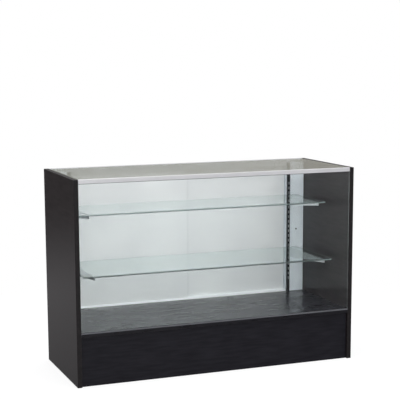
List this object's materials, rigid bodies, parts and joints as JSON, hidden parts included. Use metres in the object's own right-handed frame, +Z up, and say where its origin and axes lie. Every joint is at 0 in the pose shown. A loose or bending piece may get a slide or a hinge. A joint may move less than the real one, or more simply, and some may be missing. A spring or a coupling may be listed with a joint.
{
  "type": "full view showcase",
  "caption": "Counter display case with a glass top and front, dark end panels and base, glass shelves on slotted standards, and two sliding rear doors.",
  "frame": {"origin": "on the floor, under the middle of the case", "axes": "+X along the case, to the right of someone facing the glass front; +Y from the glass front to the sliding doors; +Z up"},
  "size_m": [1.42, 0.552, 0.965],
  "materials": {
    "black_laminate": "near-black laminate on particle board, satin",
    "raw_board": "bare particle board",
    "clear_aluminium": "clear anodised, satin",
    "post_aluminium": "clear anodised, faint mottle",
    "zinc_steel": "bright zinc plate",
    "black_metal": "black, satin",
    "black_vinyl": "soft glazing vinyl",
    "clear_glass": "clear float glass with a green edge",
    "white_melamine": "white melamine board, satin",
    "white_plastic": "moulded, satin"
  },
  "bodies": {
    "case": {"left_end_panel": "black_laminate", "right_end_panel": "black_laminate", "deck": "black_laminate", "front_base_panel": "black_laminate", "rear_base_panel": "black_laminate", "deck_support": "raw_board", "left_deck_cleat": "raw_board", "right_deck_cleat": "raw_board", "front_left_corner_block": "raw_board", "front_right_corner_block": "raw_board", "rear_left_corner_block": "raw_board", "rear_right_corner_block": "raw_board", "front_top_rail": "clear_aluminium", "rear_top_rail": "clear_aluminium", "left_top_rail": "black_metal", "right_top_rail": "black_metal", "front_left_corner_angle": "zinc_steel", "front_right_corner_angle": "zinc_steel", "rear_left_corner_angle": "zinc_steel", "rear_right_corner_angle": "zinc_steel", "top_glass": "clear_glass", "front_glass": "clear_glass", "front_glass_channel": "black_metal", "front_glass_head_seal": "black_vinyl", "front_glass_foot_seal": "black_vinyl", "left_post": "post_aluminium", "right_post": "post_aluminium", "left_post_screw": "zinc_steel", "right_post_screw": "zinc_steel", "left_standard": "black_metal", "right_standard": "black_metal", "left_standard_screw_lower": "black_metal", "left_standard_screw_upper": "black_metal", "right_standard_screw_lower": "black_metal", "right_standard_screw_upper": "black_metal", "lower_left_bracket": "zinc_steel", "lower_right_bracket": "zinc_steel", "upper_left_bracket": "zinc_steel", "upper_right_bracket": "zinc_steel", "bottom_door_track": "clear_aluminium", "top_door_track": "clear_aluminium"},
    "left_sliding_door": {"left_door": "white_melamine", "left_door_pull": "white_plastic"},
    "right_sliding_door": {"right_door": "white_melamine", "right_door_pull": "white_plastic"},
    "lower_shelf": {"lower_shelf_glass": "clear_glass"},
    "upper_shelf": {"upper_shelf_glass": "clear_glass"}
  },
  "joints": [
    {"name": "left_door_slide", "type": "slide", "parent": "case", "child": "left_sliding_door", "axis": [1, 0, 0], "range_m": [0, 0.5577]},
    {"name": "right_door_slide", "type": "slide", "parent": "case", "child": "right_sliding_door", "axis": [1, 0, 0], "range_m": [-0.5577, 0]},
    {"name": "lower_shelf_lift", "type": "slide", "parent": "case", "child": "lower_shelf", "axis": [0, 0, 1], "range_m": [0, 0.1]},
    {"name": "upper_shelf_lift", "type": "slide", "parent": "case", "child": "upper_shelf", "axis": [0, 0, 1], "range_m": [0, 0.1]}
  ]
}
